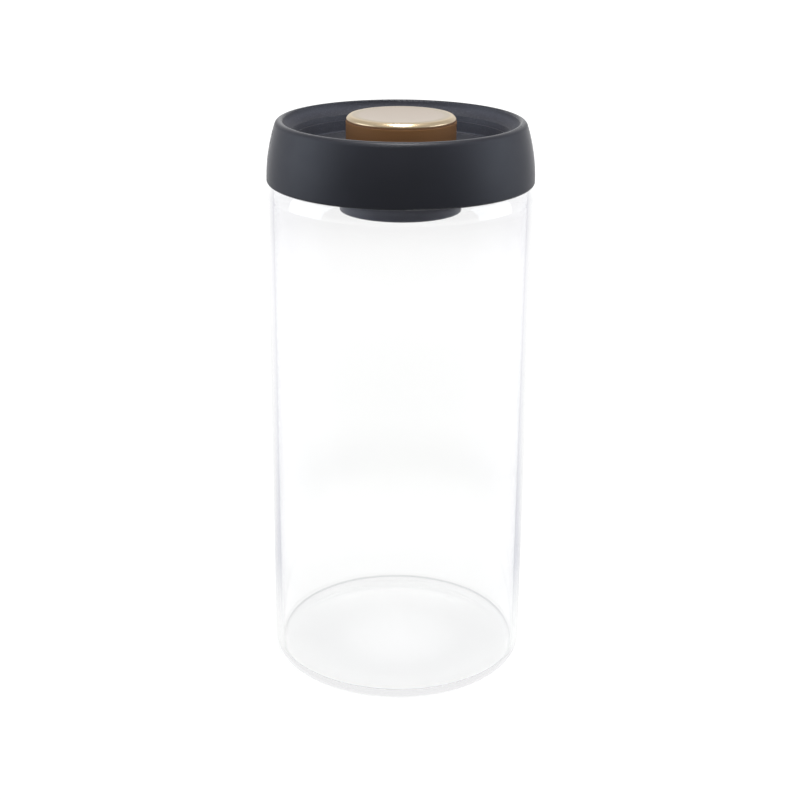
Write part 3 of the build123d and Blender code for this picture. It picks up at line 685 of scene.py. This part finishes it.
def mirrored_ray(tree, ahead=0.0):
    """One for a ray that a surface mirrored, and nought for one that only passed through glass.

    A ray that passes a glass wall counts as glossy too, but it meets two faces there, so its count of bounces
    is even. What counts a ray further than surfaces do says by how much.
    """
    path = add(tree, "LightPath").outputs
    count = add(tree, "Math", {0: path["Ray Depth"], 1: ahead}, operation="SUBTRACT")
    odd = add(tree, "Math", {0: count, 1: 2.0}, operation="MODULO")
    outside = add(tree, "Math", {0: path["Is Transmission Ray"], 1: 0.5}, operation="LESS_THAN")
    either = add(tree, "Math", {0: odd, 1: outside}, operation="MAXIMUM")
    return add(tree, "Math", {0: path["Is Glossy Ray"], 1: either}, operation="MULTIPLY")


def through_glass(tree, place, distance):
    """Strength of the floor's light for rays that passed the glass, dimmer in a ring under the foot."""
    tones = [(position, grey(level / RAMP_TOP)) for position, level in THROUGH_TONES]
    level = add(tree, "ValToRGB", {0: distance}, stops=tones)
    strength = add(tree, "MapRange", {"Value": level, "To Max": RAMP_TOP})
    shares = [(position, grey(share)) for position, share in FOOT_RING]
    ring = add(tree, "ValToRGB", {0: distance}, stops=shares)
    rear = add(tree, "SeparateXYZ", {0: place}).outputs["Y"]
    front = add(tree, "MapRange", {"Value": rear, "From Min": FOOT_RING_REAR, "From Max": 0.0})
    dim = add(tree, "Math", {0: ring, 1: front}, operation="MULTIPLY")
    kept = add(tree, "MapRange", {"Value": dim, "To Min": 1.0, "To Max": FOOT_RING_TONE})
    return add(tree, "Math", {0: strength, 1: kept}, operation="MULTIPLY")


def matte_white_floor():
    """Matte white paper: it takes the jar's soft shadow, and its own light fades it into the white backdrop.

    That light shows to the camera, in reflections and through glass only, so it adds none to the object.
    """
    material, tree, place = new_material("matte_white_floor")
    distance = add(tree, "VectorMath", {0: place}, operation="LENGTH").outputs["Value"]
    way = add(tree, "VectorMath", {0: place}, operation="NORMALIZE")
    outward = {"Value": distance, "From Min": FADE_START, "From Max": FADE_END, "To Min": FLOOR_GLOW}
    fade = add(tree, "MapRange", outward, interpolation_type="SMOOTHSTEP")
    path = add(tree, "LightPath").outputs
    through = path["Is Transmission Ray"]
    seen = add(tree, "Math", {0: path["Is Camera Ray"], 1: path["Is Glossy Ray"]}, operation="MAXIMUM")
    seen = add(tree, "Math", {0: seen, 1: through}, operation="MAXIMUM")
    share = add(tree, "Math", {0: fade, 1: seen}, operation="MULTIPLY")
    passed = through_glass(tree, place, distance)
    strength = add(tree, "MapRange", {"Value": through, "To Min": SEEN_GLOW, "To Max": passed})
    away = add(tree, "MapRange", {"Value": distance, "From Min": MIRRORED_START, "From Max": MIRRORED_FULL})
    toned = add(tree, "Math", {0: mirrored_ray(tree), 1: away}, operation="MULTIPLY")
    tone = add(tree, "MixRGB", {0: toned, 1: colour("#FFFFFF"), 2: room_tone(tree, way)})
    matte = add(tree, "BsdfDiffuse", {"Color": colour("#CBCBC6")})
    glow = add(tree, "Emission", {"Color": tone, "Strength": strength})
    lit = add(tree, "MixShader", {0: share, 1: matte, 2: glow})
    below = add(tree, "NewGeometry").outputs["Backfacing"]
    clear = add(tree, "BsdfTransparent")
    return finished(material, add(tree, "MixShader", {0: below, 1: lit, 2: clear}))


def white_floor():
    """Plain floor just under the jar, which can be seen through from below."""
    half = FLOOR_SIDE / 2
    corners = [(-half, -half, 0), (half, -half, 0), (half, half, 0), (-half, half, 0)]
    data = bpy.data.meshes.new("floor")
    data.from_pydata(corners, [], [(0, 1, 2, 3)])
    data.materials.append(matte_white_floor())
    floor = bpy.data.objects.new("floor", data)
    floor.location.z = -FLOOR_DROP
    bpy.context.scene.collection.objects.link(floor)


def white_room():
    """White backdrop for the camera, the room's tones for reflections, and a soft even fill."""
    world = bpy.data.worlds.new("studio")
    bpy.context.scene.world = world
    world.use_nodes = True
    tree = world.node_tree
    tree.nodes.clear()
    way = add(tree, "TexCoord").outputs["Generated"]
    path = add(tree, "LightPath").outputs
    glossy, through = path["Is Glossy Ray"], path["Is Transmission Ray"]
    sent_on = add(tree, "Math", {0: glossy, 1: through}, operation="MAXIMUM")
    mirrored = mirrored_ray(tree, WORLD_AHEAD)
    tone = add(tree, "MixRGB", {0: mirrored, 1: colour("#FFFFFF"), 2: room_tone(tree, way)})
    room = add(tree, "Background", {"Color": tone, "Strength": 1.0})
    fill = add(tree, "Background", {"Color": colour("#FFFFFF"), "Strength": ROOM_FILL})
    paper = add(tree, "Background", {"Color": colour("#FFFFFF"), "Strength": 1.0})
    seen = add(tree, "MixShader", {0: sent_on, 1: fill, 2: room})
    last = add(tree, "MixShader", {0: path["Is Camera Ray"], 1: seen, 2: paper})
    add(tree, "OutputWorld", {"Surface": last})


def softbox(name, place, width, height, power, tint="#FFFFFF"):
    """Rectangular area lamp aimed at the jar; it isn't seen through the glass."""
    lamp = bpy.data.objects.new(name, bpy.data.lights.new(name, "AREA"))
    lamp.data.shape = "RECTANGLE"
    lamp.data.size = width
    lamp.data.size_y = height
    lamp.data.energy = power
    lamp.data.color = colour(tint)[:3]
    lamp.location = place
    lamp.rotation_euler = (AIM - Vector(place)).to_track_quat("-Z", "Y").to_euler()
    lamp.visible_transmission = False
    bpy.context.scene.collection.objects.link(lamp)
    return lamp


def studio_lamps():
    """Softboxes at both sides, slightly in front, a lamp overhead and a front fill that isn't mirrored."""
    softbox("left_softbox", place=(-0.95, -0.06, 0.43), width=0.7, height=0.8, power=5.3, tint="#E6F0FF")
    softbox("right_softbox", place=(0.95, -0.06, 0.43), width=0.7, height=0.8, power=4.9, tint="#E6F0FF")
    softbox("top_softbox", place=(0.0, -0.05, 1.25), width=0.22, height=0.5, power=9.5)
    front = softbox("front_fill", place=(0.0, -1.6, 0.5), width=1.2, height=1.0, power=9.0)
    front.visible_glossy = False


make_camera()
dress_cad_nodes()
glass_jar()
knob_cap()
return_spring()
white_floor()
white_room()
studio_lamps()
bpy.context.scene.view_settings.view_transform = "Standard"
